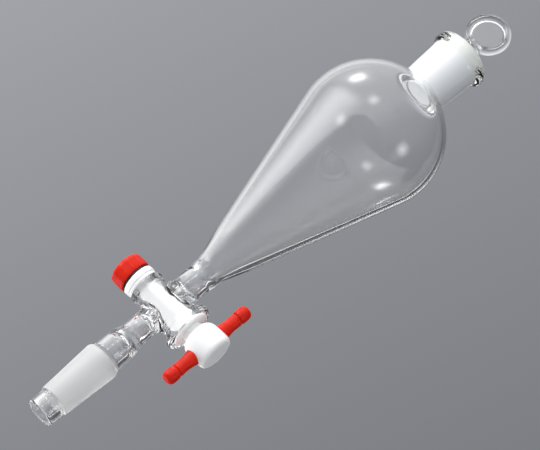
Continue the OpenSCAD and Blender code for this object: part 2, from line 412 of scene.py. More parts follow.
def make_piece(name, grids, materials, finish_of=None):
    mesh_maker = bmesh.new()
    for rows in grids:
        rings = [[mesh_maker.verts.new(Vector(p) * MM) for p in row] for row in rows]
        for low, high in zip(rings, rings[1:]):
            count = len(low)
            for i in range(count):
                j = (i + 1) % count
                mesh_maker.faces.new((low[i], low[j], high[j], high[i]))
    bmesh.ops.remove_doubles(mesh_maker, verts=mesh_maker.verts, dist=WELD)
    bmesh.ops.dissolve_degenerate(mesh_maker, edges=mesh_maker.edges, dist=WELD)
    bmesh.ops.recalc_face_normals(mesh_maker, faces=mesh_maker.faces)
    for face in mesh_maker.faces:
        face.smooth = True
        if finish_of:
            face.material_index = finish_of(face.calc_center_median() / MM, face.normal)
    open_edges = sum(1 for e in mesh_maker.edges if len(e.link_faces) != 2)
    mesh = bpy.data.meshes.new(name)
    mesh_maker.to_mesh(mesh)
    mesh_maker.free()
    mesh.set_sharp_from_angle(angle=SHARP_ANGLE)
    piece = bpy.data.objects.new(name, mesh)
    bpy.context.scene.collection.objects.link(piece)
    for material in materials:
        mesh.materials.append(material)
    print(name, "faces", len(mesh.polygons), "open edges", open_edges)
    return piece


def ring_about_z(radius, z, count):
    angles = [2 * math.pi * i / count for i in range(count)]
    return [Vector((radius * math.cos(a), radius * math.sin(a), z)) for a in angles]


def ring_about_tap(radius, x, count):
    angles = [2 * math.pi * i / count - math.pi / 2 for i in range(count)]
    return [Vector((x, radius * math.sin(a), tap_z + radius * math.cos(a))) for a in angles]


# %% [markdown]
# The glass body is blown from tubing, and the tap's barrel is fused across it. The hard place is
# where an arm meets the barrel: the flame leaves a smooth flared web there, which a plain boolean
# would cut to a crease. So the skin is built as rings instead. Round each arm a ring slides down
# the tube, opens out along a curve onto the barrel, and then spreads until it is a rectangle that
# wraps half the barrel. The two halves and the barrel's ends share those rectangles' edges.

# %% Ring counts and the barrel's shape
HALF_TURN = 44
ALONG = 22
AROUND_ARM = 2 * (HALF_TURN + ALONG)
AROUND_BARREL = 2 * HALF_TURN
skin_left, skin_right = -7.6, 5.6
skin_r_left, skin_r_right = 6.6, 7.6
bore_left, bore_right = -6.0, 6.0
plug_r_at_left, plug_r_at_right = 3.85, 4.95
cup_floor = barrel_right - 1.4
port_r = 1.6


def skin_r(x):
    share = (x - skin_left) / (skin_right - skin_left)
    return skin_r_left + (skin_r_right - skin_r_left) * share


def bore_r(x):
    share = (x - barrel_left) / (cup_floor - barrel_left)
    return plug_r_at_left + (plug_r_at_right - plug_r_at_left) * share


def rectangle(left, right):
    half = HALF_TURN // 2
    quarter = math.pi / 2
    points = [(right, quarter * i / half) for i in range(half)]
    points += [(right + (left - right) * i / ALONG, quarter) for i in range(ALONG)]
    points += [(left, quarter - math.pi * i / HALF_TURN) for i in range(HALF_TURN)]
    points += [(left + (right - left) * i / ALONG, -quarter) for i in range(ALONG)]
    points += [(right, -quarter + quarter * i / half) for i in range(half)]
    return points


def on_wall(radius_at, x, turn_angle, side):
    radius = radius_at(x)
    return Vector((x, radius * math.sin(turn_angle), tap_z + side * radius * math.cos(turn_angle)))


def spread_on_wall(radius_at, left, right, hole_r, side, rows):
    """Rings from a round hole of the given radius at each angle out to the rectangle's edge."""
    edge = rectangle(left, right)
    rings = []
    for k in range(rows + 1):
        t = k / rows
        ring = []
        for i, (edge_x, edge_turn) in enumerate(edge):
            a = 2 * math.pi * i / AROUND_ARM
            x0 = hole_r(a) * math.cos(a)
            turn0 = math.asin(hole_r(a) * math.sin(a) / radius_at(x0))
            ring.append(on_wall(radius_at, x0 + (edge_x - x0) * t, turn0 + (edge_turn - turn0) * t, side))
        rings.append(ring)
    return rings


# %% [markdown]
# The flared web follows a curve from the arm's wall to the barrel's wall. It reaches further along
# the barrel than round it, because that is where the glass has room to flow.

# %% The web between an arm and the barrel
web_along, web_around, web_up = 2.6, 0.9, 3.4
WEB_ROWS = 12
SPREAD_ROWS = 14


def web_foot(arm_r):
    return lambda a: arm_r + web_around + (web_along - web_around) * math.cos(a) ** 2


def arm_web(arm_r, ring_z, side):
    """Rings from the barrel's rectangle, up the web, to the arm's plain ring at ring_z."""
    foot = web_foot(arm_r)
    spread = spread_on_wall(skin_r, skin_left, skin_right, foot, side, SPREAD_ROWS)
    rings = spread[:0:-1]
    for k in range(WEB_ROWS + 1):
        t = 1 - k / WEB_ROWS
        ring = []
        for i in range(AROUND_ARM):
            a = 2 * math.pi * i / AROUND_ARM
            crease_x, crease_y = arm_r * math.cos(a), arm_r * math.sin(a)
            crease_z = tap_z + side * math.sqrt(skin_r(crease_x) ** 2 - crease_y**2)
            crease = Vector((crease_x, crease_y, crease_z))
            top = crease + Vector((0, 0, side * web_up))
            ring.append(top * (1 - t) ** 2 + crease * 2 * t * (1 - t) + spread[0][i] * t**2)
        rings.append(ring)
    rings.append(ring_about_z(arm_r, ring_z, AROUND_ARM))
    return rings


def port_rings(start_z, side):
    """Rings from a port of plain radius at start_z to the hole in the bore and out to its rectangle."""
    spread = spread_on_wall(bore_r, bore_left, bore_right, lambda a: port_r, side, SPREAD_ROWS)
    return [ring_about_z(port_r, start_z, AROUND_ARM)] + spread


# %% [markdown]
# The outlines of the glass itself. Outside, from the upper arm: the ring seal's swelling, the pear
# with its straight cone that runs tangent into the round crown, the neck, and the rim's bead.
# Inside, back down again: the ground bore, the crown, the cone and the arm's bore, which closes in
# to the small port that leads to the plug.

# %% Outlines of the upper part
wall = 1.6
bulb_z = 135.9
cone_angle = 15.5
upper_r, upper_bore_r = 5.65, 4.0
neck_r, neck_top_r, fillet = 9.85, 10.45, 3.0
bead = 2.6
socket_len, joint_r, taper = 24.6, 7.5, 20.0
socket_bottom = rim_top_z - socket_len


def socket_bore(z):
    return joint_r - (rim_top_z - z) / taper


fillet_rise = neck_z - bulb_z
crown_deg = math.degrees(math.atan2(fillet_rise, neck_r + fillet))
inner_r = bulb_r - wall
crown_in_deg = math.degrees(math.acos(socket_bore(socket_bottom) / inner_r))

upper_outside = fill_in(
    soften(
        [
            (upper_r, tap_z + 12.6, 0),
            (upper_r, bulb_foot_z - 3.4, 1.2),
            (upper_r + 0.42, bulb_foot_z - 1.2, 1.2),
            (upper_r + 0.25, bulb_foot_z + 2.2, 2.0),
            (9.45, bulb_foot_z + 13.0, 0),
        ]
    )
    + arc(0, bulb_z, bulb_r, -cone_angle, crown_deg, 40)
    + arc(neck_r + fillet, neck_z, fillet, crown_deg + 180, 180, 8),
    3.0,
)
neck_outside = fill_in(
    soften(
        [
            (neck_r, neck_z + 0.4, 0),
            (neck_top_r, rim_top_z - 2 * bead - 0.9, 0.9),
            (neck_top_r + 0.9, rim_top_z - 2 * bead + 0.25, 0.5),
        ]
    )[:-1]
    + arc(rim_r - bead, rim_top_z - bead, bead, -68, 90, 16)
    + soften(
        [(8.6, rim_top_z, 0), (7.6, rim_top_z, 0.5), (socket_bore(rim_top_z - 1.2), rim_top_z - 1.2, 0)]
    ),
    2.0,
)
ground_bore = fill_in(
    [
        Vector((socket_bore(rim_top_z - 1.2), rim_top_z - 1.2)),
        Vector((socket_bore(socket_bottom + 0.6), socket_bottom + 0.6)),
    ],
    1.2,
)
upper_inside = fill_in(
    arc(0, bulb_z, inner_r, crown_in_deg, -cone_angle, 44)
    + soften(
        [
            (upper_bore_r + 0.3, bulb_foot_z + 1.2, 0),
            (upper_bore_r - 0.15, bulb_foot_z - 1.4, 1.0),
            (upper_bore_r, bulb_foot_z - 3.6, 0.8),
            (upper_bore_r, tap_z + 11.2, 1.6),
            (3.4, tap_z + 9.0, 1.4),
            (port_r, tap_z + 8.1, 0.5),
            (port_r, tap_z + 6.6, 0),
        ]
    ),
    3.0,
)

# %% [markdown]
# The lower part: the arm below the tap widens to the tube that carries the ground cone. The ground
# zone ends in a short shoulder, and a plain tube with a flame-rounded lip hangs below it.

# %% Outlines of the lower part
lower_r, lower_bore_r = 5.1, 3.5
wide_r, wide_bore_r = 6.25, 4.75
wide_z, narrow_z = 10.8, 13.4
tip_r, tip_bore_r = 5.75, 4.0
cone_len = 23.4
cone_small_r = cone_r - cone_len / taper
lip = (tip_r - tip_bore_r) / 2
lower_outside = fill_in(
    soften(
        [
            (lower_r, tap_z - 12.2, 0),
            (lower_r, narrow_z + 3.2, 1.6),
            (lower_r - 0.12, narrow_z + 0.7, 0.9),
            (wide_r - 0.35, wide_z + 0.75, 0.7),
            (wide_r, wide_z - 0.6, 0.8),
            (wide_r, 2.2, 0.7),
            (cone_r - 0.35, 0.5, 0.4),
            (cone_r, -0.3, 0.3),
            (cone_small_r, -cone_len, 0.4),
            (tip_r, -cone_len - 0.7, 0.5),
            (tip_r, tip_z + lip, 0),
        ]
    )
    + arc(tip_r - lip, tip_z + lip, lip, 0, -180, 12),
    1.6,
)
lower_inside = fill_in(
    soften(
        [
            (tip_bore_r, tip_z + lip, 0),
            (tip_bore_r, -cone_len, 2.0),
            (4.5, -cone_len + 6, 2.0),
            (wide_bore_r, wide_z - 1.8, 2.0),
            (3.1, wide_z + 0.1, 1.2),
            (3.1, narrow_z - 0.5, 0.7),
            (lower_bore_r + 0.1, narrow_z + 1.2, 1.2),
            (lower_bore_r, tap_z - 10.6, 1.6),
            (2.9, tap_z - 9.0, 1.2),
            (port_r, tap_z - 8.1, 0.5),
            (port_r, tap_z - 6.6, 0),
        ]
    ),
    1.6,
)

# %% [markdown]
# The barrel's ends are turned about the tap's axis: a small lip where the washer seats, and at the
# handle's end a thick cup that guards the plug's flange.

# %% Outlines of the barrel's ends
cup_r = high_mm("tap_barrel").z - tap_z
cup_bore_r = 7.95
right_end = fill_in(
    soften(
        [
            (skin_r_right, skin_right, 0),
            (skin_r_right + 0.25, barrel_right - 5.0, 1.4),
            (cup_r - 0.15, barrel_right - 3.1, 1.3),
            (cup_r, barrel_right - 0.9, 1.1),
            (cup_bore_r + 0.9, barrel_right, 0.9),
            (cup_bore_r, barrel_right - 0.7, 0.5),
            (cup_bore_r, cup_floor, 0.15),
            (bore_r(cup_floor), cup_floor, 0.1),
            (bore_r(bore_right), bore_right, 0),
        ]
    ),
    1.0,
)
left_end = fill_in(
    soften(
        [
            (skin_r_left, skin_left, 0),
            (skin_r_left + 0.02, barrel_left + 2.9, 0.7),
            (7.38, barrel_left + 1.3, 0.7),
            (7.0, barrel_left, 0.6),
            (bore_r(barrel_left), barrel_left, 0.1),
            (bore_r(bore_left), bore_left, 0),
        ]
    ),
    1.0,
)

# %% [markdown]
# The body is four strips of rings. The upper and the lower strip start on the barrel, open into an
# arm, run along the outside, turn over at the open end and come back inside to the barrel's port.
# The left and right strips are the barrel's ends. Strips meet on shared points, so that they can be
# welded into one closed skin, as fused glass has.

# %% Build the glass body
upper_strip = arm_web(upper_r, tap_z + 12.6, 1)
upper_outline = upper_outside[1:] + neck_outside + ground_bore + upper_inside
upper_strip += [ring_about_z(p.x, p.y, AROUND_ARM) for p in upper_outline]
upper_strip += port_rings(tap_z + 6.0, 1)[1:]
lower_strip = arm_web(lower_r, tap_z - 12.2, -1)
lower_outline = lower_outside[1:] + lower_inside
lower_strip += [ring_about_z(p.x, p.y, AROUND_ARM) for p in lower_outline]
lower_strip += port_rings(tap_z - 6.0, -1)[1:]
right_strip = [ring_about_tap(p.x, p.y, AROUND_BARREL) for p in right_end]
left_strip = [ring_about_tap(p.x, p.y, AROUND_BARREL) for p in left_end]


def glass_finish(place, normal):
    """0 for clear glass, 1 for the ground cone, 2 for the ground socket, 3 for the thick rim."""
    radius = math.hypot(place.x, place.y)
    in_socket = radius < joint_r + 0.1 and socket_bottom + 0.5 < place.z < rim_top_z - 1.0
    on_cone = -cone_len - 0.2 < place.z < 0.55 and radius > cone_small_r - 0.1
    in_rim = place.z > rim_top_z - 2 * bead - 0.4 and radius > 9.2
    return 1 if on_cone else 2 if in_socket else 3 if in_rim else 0


# %% [markdown]
# A flame never leaves glass quite even. Where it was worked hardest, at the tap's barrel, the
# shoulder of the lower tube and the rim, the skin wanders by up to 0.17 mm, mostly inwards. That
# is what makes thick glass sparkle with small broken reflections. Ground and fitted faces keep true.

# %% Unevenness of worked glass
def worked(here):
    """How far, in mm, the flame has moved the skin at this place."""
    from_tap = math.hypot(here.y, here.z - tap_z)
    radius = math.hypot(here.x, here.y)
    if here.z > rim_top_z - 2 * bead - 1 and radius > joint_r + 0.6:
        return 0.07
    if from_tap > bore_r(here.x) + 0.9 and abs(here.z - tap_z) < 13.5:
        in_cup = here.x > cup_floor - 0.5 and from_tap < cup_r - 1.0
        return 0.0 if in_cup or here.x < barrel_left + 0.3 else 0.13
    if 6.5 < here.z < tap_z - 9:
        return 0.11 * smooth_step(6.5, 9.5, here.z)
    return 0.05 * (1 - smooth_step(bulb_foot_z + 4, bulb_foot_z + 12, here.z)) if here.z > tap_z else 0.0


# %% [markdown]
# Each strip becomes faces, doubled points are welded, and every face gets its finish from where it
# lies. The unevenness comes last, on the welded skin, so it can't open a gap between two strips.

# %% Join the glass body
glass_body = make_piece(
    "glass_body",
    [upper_strip, lower_strip, right_strip, left_strip],
    [clear_glass, frosted_glass, frosted_white, rim_glass],
    glass_finish,
)
shifts = []
for vertex in glass_body.data.vertices:
    here = vertex.co / MM
    wander = noise.noise(here / 2.3) - 0.5
    shifts.append(vertex.normal * (worked(here) * wander * MM))
for vertex, shift in zip(glass_body.data.vertices, shifts):
    vertex.co += shift
print("largest shift in mm:", round(max(v.length for v in shifts) / MM, 3))
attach(glass_body, "glass")
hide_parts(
    "top_socket", "bulb", "upper_arm", "tap_barrel", "lower_arm", "cone_joint"
)

# %% [markdown]
# The stopper is pressed from hot glass: a thick round-edged disc to grip, a short neck, and a cone
# that is ground to fit the socket. Two outlines are turned and pushed together, the union is meshed
# afresh so that the neck flows into the disc, and then each point away from that junction is put
# back on the true outline, which keeps the faces flat and the cone straight.

# %% Stopper outlines
disc_r = high_mm("stopper").x / math.cos(math.radians(3))
disc_z = high_mm("stopper").z - disc_r
disc_turn = math.radians(-3)
rim_half, web_half, rim_w = 1.6, 0.8, 1.9
disc_outline = fill_in(
    soften(
        [
            (0, web_half, 0),
            (disc_r - rim_w - 0.9, web_half, 0.6),
            (disc_r - rim_w, rim_half - 0.25, 0.5),
            (disc_r - rim_w + 0.55, rim_half, 0.4),
        ]
    )[:-1]
    + arc(disc_r - 1.25, rim_half - 1.25, 1.25, 90, 0, 8)
    + arc(disc_r - 1.25, 1.25 - rim_half, 1.25, 0, -90, 8)
    + soften(
        [
            (disc_r - rim_w + 0.55, -rim_half, 0),
            (disc_r - rim_w, 0.25 - rim_half, 0.5),
            (disc_r - rim_w - 0.9, -web_half, 0.6),
            (0, -web_half, 0),
        ]
    ),
    0.4,
)
foot_z = low_mm("stopper").z
ground_end = rim_top_z + 0.5
fit = 0.06
stem_outline = fill_in(
    soften(
        [
            (0, foot_z, 0),
            (socket_bore(foot_z) - 0.45, foot_z, 0.3),
            (socket_bore(foot_z + 0.6) - fit, foot_z + 0.6, 0.3),
            (socket_bore(ground_end) - fit, ground_end, 0.5),
            (4.9, rim_top_z + 2.0, 1.0),
            (3.5, rim_top_z + 3.2, 1.0),
            (3.3, disc_z - disc_r + 0.4, 0.8),
            (3.9, disc_z - disc_r + 2.2, 0),
            (0, disc_z - disc_r + 2.2, 0),
        ]
    ),
    0.4,
)


# %% [markdown]
# The stopper is rebuilt from voxels further down, which blurs its turned faces a little. This finds
# the nearest place on an outline, so that such points can be put back on it.

# %% Put points back on an outline
def snap_to(outline, radius, height):
    best, place = 1e9, None
    for a, b in zip(outline, outline[1:]):
        line = b - a
        share = max(0.0, min(1.0, (Vector((radius, height)) - a).dot(line) / max(line.dot(line), 1e-9)))
        spot = a + line * share
        gap = (Vector((radius, height)) - spot).length
        if gap < best:
            best, place = gap, spot
    return place

# %% [markdown]
# Disc and stem are turned about different axes. A voxel remesh merges them and smoothing leaves a
# soft fillet where they meet, as pressed glass has. Away from that fillet every point goes back onto
# its outline. The cone is ground, and the rest stays clear.

# %% Build the stopper
disc_frame = Matrix.Rotation(disc_turn, 3, "Z")
disc_centre = Vector((0, 0, disc_z))


def disc_ring(point, count=120):
    angles = [2 * math.pi * i / count for i in range(count)]
    flat = [Vector((point.x * math.cos(a), -point.y, point.x * math.sin(a))) for a in angles]
    return [disc_centre + disc_frame @ p for p in flat]


rough_stopper = make_piece(
    "rough_stopper",
    [
        [disc_ring(p) for p in disc_outline],
        [ring_about_z(p.x, p.y, 120) for p in stem_outline],
    ],
    [clear_glass],
)
remesh = rough_stopper.modifiers.new("voxels", "REMESH")
remesh.mode = "VOXEL"
remesh.voxel_size = 0.22 * MM
ease = rough_stopper.modifiers.new("ease", "SMOOTH")
ease.factor = 0.5
ease.iterations = 14
evaluated = rough_stopper.evaluated_get(bpy.context.evaluated_depsgraph_get())
stopper_mesh = bpy.data.meshes.new_from_object(evaluated)
bpy.data.objects.remove(rough_stopper)
back = disc_frame.inverted()
for vertex in stopper_mesh.vertices:
    here = vertex.co / MM
    turned = back @ (here - disc_centre)
    disc_rho = math.hypot(turned.x, turned.z)
    from_junction = math.hypot(turned.x, turned.z + disc_r)
    if here.z < rim_top_z + 3.6:
        rho = math.hypot(here.x, here.y)
        spot = snap_to(stem_outline, rho, here.z)
        angle = math.atan2(here.y, here.x)
        target = Vector((spot.x * math.cos(angle), spot.x * math.sin(angle), spot.y))
        share = 1 - smooth_step(rim_top_z + 2.6, rim_top_z + 3.6, here.z)
    else:
        spot = snap_to(disc_outline, disc_rho, -turned.y)
        angle = math.atan2(turned.z, turned.x)
        flat = Vector((spot.x * math.cos(angle), -spot.y, spot.x * math.sin(angle)))
        target = disc_centre + disc_frame @ flat
        share = smooth_step(3.6, 5.6, from_junction)
    vertex.co = here.lerp(target, share) * MM
stopper_mesh.materials.clear()
for material in (clear_glass, frosted_white):
    stopper_mesh.materials.append(material)
for face in stopper_mesh.polygons:
    face.use_smooth = True
    centre = face.center / MM
    face.material_index = 1 if centre.z < ground_end - 0.15 else 0
stopper_glass = bpy.data.objects.new("stopper_glass", stopper_mesh)
bpy.context.scene.collection.objects.link(stopper_glass)
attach(stopper_glass, "stopper")
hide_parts("stopper")
print("stopper faces", len(stopper_mesh.polygons))

# %% [markdown]
# The plug is turned from PTFE rod in one piece: taper, flange, hub and a threaded tail. The thread
# is a true helix, drawn by letting the radius rise and fall with angle and distance, and the flat
# that keys the washer is made by holding the height down, just as a mill would leave it.

# %% Plug outline
tail_end = low_mm("plug").x
hub_out = high_mm("plug").x
hub_in = 15.2
hub_r, neck_hub_r = 7.5, 4.2
tail_r, root_r, pitch = 3.2, 2.72, 1.5
small_end = barrel_left + 1.6
flange_in = cup_floor + 0.1
flange_out = flange_in + 1.3
flange_r = 7.65
plug_outline = fill_in(
    soften(
        [
            (0, hub_out - 0.02, 0),
            (hub_r - 1.7, hub_out, 1.6),
            (hub_r - 0.25, hub_out - 0.9, 1.2),
            (hub_r, hub_out - 4.8, 3.0),
            (hub_r - 0.3, hub_in + 2.0, 1.8),
            (hub_r - 1.9, hub_in + 0.15, 1.4),
            (neck_hub_r, hub_in, 0.3),
            (neck_hub_r, flange_out, 0.35),
            (flange_r - 0.1, flange_out, 0.35),
            (flange_r, flange_in, 0.3),
            (bore_r(flange_in) - 0.05, flange_in, 0.12),
            (bore_r(small_end) - 0.05, small_end, 0.3),
            (tail_r, small_end, 0.15),
            (tail_r, low_mm("o_ring").x + 0.4, 0.2),
            (root_r, low_mm("o_ring").x, 0),
        ]
    ),
    0.5,
)


def thread_radius(x, angle):
    phase = (x / pitch + angle / (2 * math.pi)) % 1
    crest = 1 - abs(2 * phase - 1)
    return root_r + (tail_r - root_r) * smooth_step(0.2, 0.75, crest)


def tail_ring(radius_at, x, count):
    ring = []
    for i in range(count):
        a = 2 * math.pi * i / count - math.pi / 2
        radius = radius_at(x, a)
        rise = min(radius * math.cos(a), tail_r - 0.7) if x < barrel_left else radius * math.cos(a)
        ring.append(Vector((x, radius * math.sin(a), tap_z + rise)))
    return ring


# %% [markdown]
# Rows of points run along the rod. On the tail their radius follows the thread, so the helix is
# real geometry that fades in over its first rows. The liquid's bore and the hole for the crossbar
# are cut last, as a turner drills them after the outside is done.

# %% Build the plug
PLUG_SIDES = 128
thread_start = low_mm("o_ring").x
thread_rows = 52
plug_rows = [tail_ring(lambda x, a, p=p: p.x, p.y, PLUG_SIDES) for p in plug_outline]
for k in range(1, thread_rows + 1):
    x = thread_start + (tail_end + 0.5 - thread_start) * k / thread_rows
    fade = min(1.0, k / 5)
    plug_rows.append(
        tail_ring(lambda x, a, f=fade: root_r + (thread_radius(x, a) - root_r) * f, x, PLUG_SIDES)
    )
plug_rows.append(tail_ring(lambda x, a: root_r - 0.35, tail_end, PLUG_SIDES))
plug_rows.append(tail_ring(lambda x, a: 0.0, tail_end, PLUG_SIDES))
plug_white = make_piece("plug_white", [plug_rows], [white_ptfe])


def cut_bore(piece, radius, x, half_height):
    cutter = make_piece(
        "cutter",
        [
            [
                [p + Vector((x, 0, 0)) for p in ring_about_z(r, z, 64)]
                for r, z in (
                    (0, tap_z - half_height),
                    (radius, tap_z - half_height),
                    (radius, tap_z + half_height),
                    (0, tap_z + half_height),
                )
            ]
        ],
        [white_ptfe],
    )
    bore = piece.modifiers.new("bore", "BOOLEAN")
    bore.object = cutter
    bore.operation = "DIFFERENCE"
    bore.solver = "EXACT"
    result = bpy.data.meshes.new_from_object(piece.evaluated_get(bpy.context.evaluated_depsgraph_get()))
    piece.modifiers.clear()
    old = piece.data
    piece.data = result
    bpy.data.meshes.remove(old)
    bpy.data.objects.remove(cutter)
    for face in result.polygons:
        face.use_smooth = True
    result.set_sharp_from_angle(angle=SHARP_ANGLE)


hub_x = (low_mm("t_bar").x + high_mm("t_bar").x) / 2
bar_r = (high_mm("t_bar").x - low_mm("t_bar").x) / 2
plug_bore_r = 1.2
past_taper, past_hub = 9, 12
cut_bore(plug_white, plug_bore_r, 0, past_taper)
cut_bore(plug_white, bar_r, hub_x, past_hub)
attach(plug_white, "plug")
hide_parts("plug")
print("plug faces after boring", len(plug_white.data.polygons))

# %% [markdown]
# The crossbar is moulded in two half shells' worth of steel, so a fine parting line runs along both
# sides. It swells like a trumpet at the hub, and a notch sets off the rounded knob at each end.

# %% Crossbar
bar_top = high_mm("t_bar").z - tap_z
notch = bar_top - 5.0
bar_half = soften(
    [
        (bar_r - 0.02, 0, 0),
        (bar_r - 0.02, 6.9, 0.4),
        (2.86, 8.4, 1.0),
        (2.52, 10.4, 1.4),
        (2.46, 12.2, 1.0),
        (2.62, notch - 0.8, 0.25),
        (2.12, notch - 0.62, 0.12),
        (2.12, notch - 0.16, 0.12),
        (2.68, notch, 0.22),
        (2.8, notch + 1.2, 0.6),
        (2.78, bar_top - 1.5, 0.9),
        (2.0, bar_top - 0.12, 0.8),
        (0, bar_top, 0),
    ]
)
bar_half = fill_in(bar_half, 0.5)
bar_outline = [Vector((p.x, -p.y)) for p in reversed(bar_half)] + bar_half[1:]


def moulded_ring(radius, z, count=128):
    ring = []
    for i in range(count):
        a = 2 * math.pi * i / count
        seam = 0.05 if i % (count // 2) == 0 and 2.0 < radius < 2.75 else 0.0
        r = radius + seam
        ring.append(Vector((hub_x + r * math.cos(a), r * math.sin(a), tap_z + z)))
    return ring


crossbar = make_piece("crossbar", [[moulded_ring(p.x, p.y) for p in bar_outline]], [red_plastic])
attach(crossbar, "plug")
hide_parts("t_bar")

# %% [markdown]
# The washer, the rubber ring and the nut pull the plug home. The washer's hole has a flat, so it
# turns with the plug and the nut doesn't creep. The nut is moulded with twelve shallow flats whose
# corners and face edges are well rounded, and it has a moulded recess in its outer face.

# %% Washer
washer_r = high_mm("washer").z - tap_z
washer_left, washer_right = low_mm("washer").x, high_mm("washer").x
hole_r = tail_r + 0.06
washer_outline = soften(
    [
        (hole_r, washer_left, 0),
        (washer_r, washer_left, 0.4),
        (washer_r, washer_right - 1.5, 0.2),
        (washer_r - 0.3, washer_right - 1.3, 0.15),
        (washer_r - 0.32, washer_right, 0.35),
        (hole_r, washer_right, 0),
    ]
)
washer_outline = fill_in(washer_outline, 0.6)


def keyed_ring(radius, x, count=128):
    ring = []
    for i in range(count):
        a = 2 * math.pi * i / count - math.pi / 2
        rise = radius * math.cos(a)
        if radius < hole_r + 0.01:
            rise = min(rise, tail_r - 0.64)
        ring.append(Vector((x, radius * math.sin(a), tap_z + rise)))
    return ring


washer_rows = [keyed_ring(p.x, p.y) for p in washer_outline]
washer_white = make_piece("washer_white", [washer_rows + washer_rows[:1]], [white_ptfe])
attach(washer_white, "seals")
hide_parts("washer")

# %% [markdown]
# A rubber ring that the nut has squeezed a little, so its section lies between a circle and a box
# with round corners. It shows only as a black line between washer and nut.

# %% Rubber ring
ring_left, ring_right = low_mm("o_ring").x, high_mm("o_ring").x
ring_outer = high_mm("o_ring").z - tap_z
ring_half = (ring_right - ring_left) / 2
ring_section = []
for i in range(28):
    a = 2 * math.pi * i / 28
    squash_x = math.copysign(abs(math.cos(a)) ** 0.7, math.cos(a)) * ring_half
    squash_r = math.copysign(abs(math.sin(a)) ** 0.8, math.sin(a)) * 0.8
    ring_section.append(Vector((ring_outer - 0.8 + squash_r, ring_left + ring_half + squash_x)))
ring_rows = [ring_about_tap(p.x, p.y, 112) for p in ring_section]
rubber_ring = make_piece("rubber_ring", [ring_rows + ring_rows[:1]], [black_rubber])
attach(rubber_ring, "seals")
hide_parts("o_ring")

# %% [markdown]
# The nut's flats are shallow and fade out on its end faces towards the hole. Its outer face has a
# moulded recess around the plug's tail.

# %% Nut
nut_left, nut_right = low_mm("nut").x, high_mm("nut").x
nut_r = 7.0
FLATS = 12
nut_outline = soften(
    [
        (3.26, nut_left + 1.2, 0),
        (3.7, nut_left + 0.75, 0.2),
        (4.6, nut_left + 0.7, 0.3),
        (4.95, nut_left, 0.3),
        (nut_r - 1.1, nut_left, 0.7),
        (nut_r - 0.1, nut_left + 1.0, 0.9),
        (nut_r, nut_right - 1.0, 0.6),
        (nut_r - 0.2, nut_right, 0.35),
        (3.7, nut_right, 0.2),
        (3.26, nut_right - 0.5, 0.2),
        (3.26, nut_left + 1.2, 0),
    ]
)
nut_outline = fill_in(nut_outline, 0.45)


def flat_share(angle):
    """Radius of a soft-cornered polygon of unit corner radius at this angle."""
    piece_angle = 2 * math.pi / FLATS
    off = (angle % piece_angle) - piece_angle / 2
    flat = math.cos(piece_angle / 2) / math.cos(off)
    return min(flat, 0.994)


def nut_ring(radius, x, count=240):
    amount = smooth_step(5.2, 6.3, radius)
    ring = []
    for i in range(count):
        a = 2 * math.pi * i / count - math.pi / 2
        r = radius * (1 + (flat_share(a) - 1) * amount)
        ring.append(Vector((x, r * math.sin(a), tap_z + r * math.cos(a))))
    return ring


nut_red = make_piece("nut_red", [[nut_ring(p.x, p.y) for p in nut_outline]], [red_plastic])
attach(nut_red, "nut")
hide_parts("nut")

# %% [markdown]
# The studio: clear glass shows only what it mirrors and bends, so the room itself draws it. The
# room is bright on the funnel's left and falls off to dark on its right, steepest straight behind
# it, which gives one light outline and one dark one. Soft boxes with edges that fade out draw the
# highlights on the bulb, and fill lights that the glass doesn't mirror lift the white plastic.

# %% Directions as the camera sees them
def seen(right, up, near):
    """A direction given by how far it points right, up the funnel, and towards the camera."""
    return (turn @ (across_dir * right + axis_dir * up + Vector((0, 0, near)))).normalized()


# %% [markdown]
# The room is a smooth ramp from dark on the funnel's right to bright on its left, and it gets
# brighter behind the camera. A soft grey card hangs on the bright side, because clear glass seen
# against plain white would lose its outline.

# %% World
world = bpy.data.worlds.new("studio_surround")
world.use_nodes = True
world_tree = world.node_tree
world_tree.nodes.clear()
direction = add_node(world_tree, "ShaderNodeTexCoord")


def towards(way):
    dot = add_node(world_tree, "ShaderNodeVectorMath", operation="DOT_PRODUCT")
    world_tree.links.new(direction.outputs["Generated"], dot.inputs[0])
    dot.inputs[1].default_value = way
    return dot.outputs["Value"]


room = add_node(world_tree, "ShaderNodeValToRGB")
room.color_ramp.interpolation = "B_SPLINE"
room.color_ramp.elements[0].color = linear("4C4D51")
room.color_ramp.elements[1].color = linear("FFFFFF")
for position, colour in ((0.3, "5D5F63"), (0.46, "7A7C81"), (0.56, "A3A5AA"), (0.72, "DDE0E3")):
    stop = room.color_ramp.elements.new(position)
    stop.color = linear(colour)
side = add_node(
    world_tree, "ShaderNodeMapRange", {"Value": towards(seen(-0.95, 0.25, 0.0))}, From_Min=-1.0
)
world_tree.links.new(side.outputs["Result"], room.inputs["Fac"])
front = add_node(
    world_tree,
    "ShaderNodeMapRange",
    {"Value": towards(seen(0.0, 0.0, 1.0))},
    From_Min=-0.6,
    From_Max=0.9,
    To_Min=1.0,
    To_Max=2.0,
)
# A soft grey card on the bright side, so that the room doesn't blow out behind the tap's end
card = add_node(
    world_tree,
    "ShaderNodeMapRange",
    {"Value": towards(Vector((-1.0, 0.0, -0.05)).normalized())},
    From_Min=0.94,
    From_Max=0.988,
    To_Min=1.0,
    To_Max=0.42,
)
card.interpolation_type = "SMOOTHSTEP"
level = add_node(world_tree, "ShaderNodeMath", operation="MULTIPLY")
world_tree.links.new(front.outputs["Result"], level.inputs[0])
world_tree.links.new(card.outputs["Result"], level.inputs[1])
surround = add_node(
    world_tree,
    "ShaderNodeBackground",
    {"Color": room.outputs["Color"], "Strength": level.outputs["Value"]},
)
add_node(world_tree, "ShaderNodeOutputWorld", {"Surface": surround.outputs["Background"]})
bpy.context.scene.world = world
print("room ramp has", len(room.color_ramp.elements), "stops")

